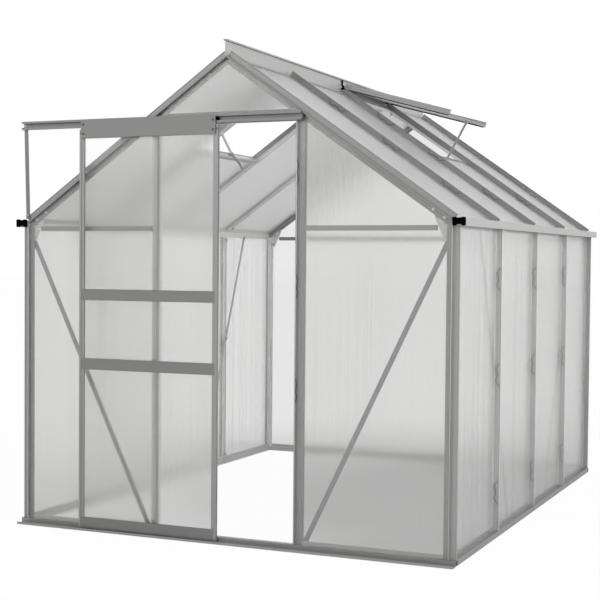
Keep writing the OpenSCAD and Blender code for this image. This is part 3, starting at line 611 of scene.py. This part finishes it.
def addStop(bm, steel, y, way, hand):  # a stem under the ridge lip, a wider foot and a plate
    hingeZ = ventBits["hinge"][1]
    rise = ventBits["lip"] - hingeZ
    stemX, stemY = ventBits["stem"]
    addBlock(bm, (hand * (ventBits["stopX"] + stemX / 2), y + way * stemY / 2,
                  hingeZ + rise / 2), (stemX, stemY, rise), ventBits["stemChamfer"])
    footX, footY, footZ = ventBits["foot"]
    addBlock(bm, (hand * (ventBits["stopX"] + footX / 2), y + way * footY / 2, hingeZ),
             ventBits["foot"], ventBits["footChamfer"])
    plateX, plateY, plateZ = ventBits["plate"]
    plateMiddle = y + way * (footY + plateY / 2)
    addBlock(steel, (hand * (ventBits["plateX"] + plateX / 2), plateMiddle, hingeZ),
             ventBits["plate"], ventBits["plateChamfer"])
    addNut(steel, (hand * (ventBits["plateX"] + plateX), plateMiddle, hingeZ), (hand, 0, 0))


def makeVentBits():
    steel, stops = bmesh.new(), bmesh.new()
    for hand, vent in vents.items():
        first = house["yFront"] + vent["bay"] * house["bay"]
        last = first + house["bay"]
        middle = first + house["bay"] / 2
        addStayEnd(steel, onSlope(ventBits["kneeS"], middle, 0.0, hand), house["pitch"], hand)
        addStayEnd(steel, onLeaf(ventBits["headRun"], ventBits["headDrop"], middle, hand),
                   vent["fall"], hand)
        for y, way in ((first, 1), (last, -1)):
            addSeal(stops, y, way, hand)
            addStop(stops, steel, y, -way, hand)
    finishPiece(steel, "stay_brackets", "bolts", "frame")
    finishPiece(stops, "vent_stops", "black", "frame")


makeVentBits()

# in gloss and through the sheets the floor's glow is painted shade, dim near the house and
# white far off, standing in for the house's shadow; seen through the sheets it is centred to
# the right, so the floor at the left is painted lighter; the flag is a dark card at the left
# that only gloss sees: where it begins, where it is full, how dark
studio = {
    "flag": (0.30, 0.65, 0.55), "floorSeen": 0.96, "floorTone": 0.66, "floorHalf": 60.0,
    "floorZ": -0.0005,
    "inGloss": {"middle": (0.0, 0.0, 0.0), "near": 1.8, "far": 6.0, "white": (0.20, 0.80)},
    "throughSheet": {"middle": (1.0, 0.2, 0.0), "near": 1.1, "far": 3.3, "white": (0.06, 0.92)},
}
white = (1.0, 1.0, 1.0, 1.0)


def ramp(value, begins, ends):
    return ((value - begins) * (1.0 / (ends - begins))).clamped()


def emptyTree(owner):
    owner.use_nodes = True
    owner.node_tree.nodes.clear()
    return Flow(owner.node_tree)


def rays(flow):  # what the camera sees, sees in gloss and sees through a sheet
    seen = flow.add("ShaderNodeLightPath", out="Is Camera Ray")
    through = seen.twin("Is Transmission Ray")
    return seen, seen.twin("Is Glossy Ray") * (1.0 - through), through


def setWorld():
    world = bpy.data.worlds.new("studio")
    bpy.context.scene.world = world
    flow = emptyTree(world)
    glossy = rays(flow)[1]
    toX = flow.add("ShaderNodeSeparateXYZ", None, {
        0: flow.add("ShaderNodeTexCoord", out="Generated")})
    begins, full, dark = studio["flag"]
    flag = ramp(-1.0 * toX, begins, full) * glossy
    shine = flow.add("ShaderNodeBackground", None, {
        "Color": white, "Strength": 1.0 - flag * dark})
    flow.add("ShaderNodeOutputWorld", None, {"Surface": shine})


def setFloor():
    bm = bmesh.new()
    bmesh.ops.create_grid(bm, x_segments=1, y_segments=1, size=studio["floorHalf"])
    mesh = bpy.data.meshes.new("studioFloor")
    bm.to_mesh(mesh)
    bm.free()
    floor = bpy.data.objects.new("studioFloor", mesh)
    floor.location.z = studio["floorZ"]
    bpy.context.scene.collection.objects.link(floor)
    material = bpy.data.materials.new("paleFloor")
    flow = emptyTree(material)
    seen, glossy, through = rays(flow)
    place = flow.add("ShaderNodeTexCoord", out="Object")
    share = seen * studio["floorSeen"]
    # painted shade: in gloss and through the sheets the glow fades towards the house
    for ray, key in ((glossy, "inGloss"), (through, "throughSheet")):
        zone = studio[key]
        length = flow.add("ShaderNodeVectorMath", {"operation": "DISTANCE"}, {
            0: place, 1: zone["middle"]}, out="Value")
        least, most = zone["white"]
        share = share + ray * (least + ramp(length, zone["near"], zone["far"]) * (most - least))
    matt = flow.add("ShaderNodeBsdfDiffuse", None, {"Color": (*[studio["floorTone"]] * 3, 1.0)})
    glow = flow.add("ShaderNodeEmission", None, {"Color": white, "Strength": 1.0})
    both = flow.add("ShaderNodeMixShader", None, {0: share, 1: matt, 2: glow})
    flow.add("ShaderNodeOutputMaterial", None, {"Surface": both})
    mesh.materials.append(material)


lamps = {
    "keyLamp": {"spot": (6.5, -4.0, 3.6), "size": 4.0, "watts": 360.0},
    "fillLamp": {"spot": (-4.0, -7.0, 4.0), "size": 4.0, "watts": 70.0},
}
lampsAim = Vector((0.0, 0.0, 1.0))


def setLamps():
    for name, settings in lamps.items():
        data = bpy.data.lights.new(name, "AREA")
        data.size = settings["size"]
        data.energy = settings["watts"]
        lamp = bpy.data.objects.new(name, data)
        lamp.location = settings["spot"]
        aim = lampsAim - Vector(settings["spot"])
        lamp.rotation_euler = aim.to_track_quat("-Z", "Y").to_euler()
        bpy.context.scene.collection.objects.link(lamp)


setWorld()
setFloor()
setLamps()
print("world, floor and lamps set")
bpy.context.scene.view_settings.view_transform = "Standard"
print("done")
